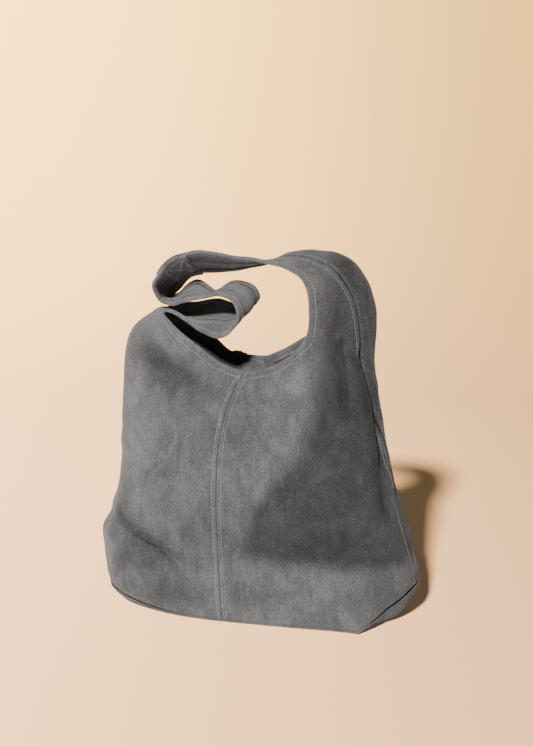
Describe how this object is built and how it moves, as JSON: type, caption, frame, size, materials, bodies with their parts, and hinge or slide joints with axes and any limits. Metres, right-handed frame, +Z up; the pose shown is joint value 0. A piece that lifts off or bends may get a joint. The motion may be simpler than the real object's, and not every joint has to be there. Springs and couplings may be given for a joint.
{
  "type": "hobo bag",
  "caption": "Soft grey suede hobo bag with a centre seam, wide panels that run up into a folded shoulder strap, hemmed mouth and a zipped inner pocket.",
  "frame": {"origin": "middle of the bag's footprint, on the surface that it stands on", "axes": "+Z up, the front with the centre seam faces -Y, +X to the viewer's right when facing the front"},
  "size_m": [0.4197, 0.1535, 0.4755],
  "materials": {
    "suede": "matte brushed suede nap",
    "lining": "plain woven cotton",
    "tape": "woven zip tape",
    "metal": "satin",
    "thread": "waxed polyester thread"
  },
  "bodies": {
    "bag": {"front_left_body": "suede", "front_right_body": "suede", "back_left_body": "suede", "back_right_body": "suede", "base_panel": "suede", "pocket_hanger": "suede", "pocket_back": "lining", "pocket_front_lower": "lining", "pocket_front_upper": "lining", "zip_tape_upper": "tape", "zip_tape_lower": "tape", "zip_teeth": "tape", "zip_stop_left": "metal", "zip_stop_right": "metal", "front_centre_thread_left": "thread", "front_centre_thread_right": "thread", "back_centre_thread_left": "thread", "back_centre_thread_right": "thread", "front_mouth_thread_left": "thread", "front_mouth_thread_right": "thread", "back_mouth_thread_left": "thread", "back_mouth_thread_right": "thread", "front_side_thread_left": "thread", "front_side_thread_right": "thread"},
    "strap": {"front_left_strap": "suede", "front_right_strap": "suede", "back_left_strap": "suede", "back_right_strap": "suede", "front_strap_thread_left": "thread", "front_strap_thread_right": "thread", "back_strap_thread_left": "thread", "back_strap_thread_right": "thread", "strap_join_thread": "thread"},
    "slider": {"zip_slider": "metal"},
    "pull": {"zip_pull": "metal"}
  },
  "joints": [
    {"name": "strap_fold", "type": "hinge", "parent": "bag", "child": "strap", "pos_m": [0, 0, 0.35], "axis": [1, 0, 0], "range_deg": [-18, 18]},
    {"name": "zip_slide", "type": "slide", "parent": "bag", "child": "slider", "axis": [1, 0, 0], "range_m": [0, 0.112]},
    {"name": "zip_pull_swing", "type": "hinge", "parent": "slider", "child": "pull", "pos_m": [-0.0604, 0.0306, 0.27], "axis": [-1, 0, 0], "range_deg": [0, 150]}
  ]
}
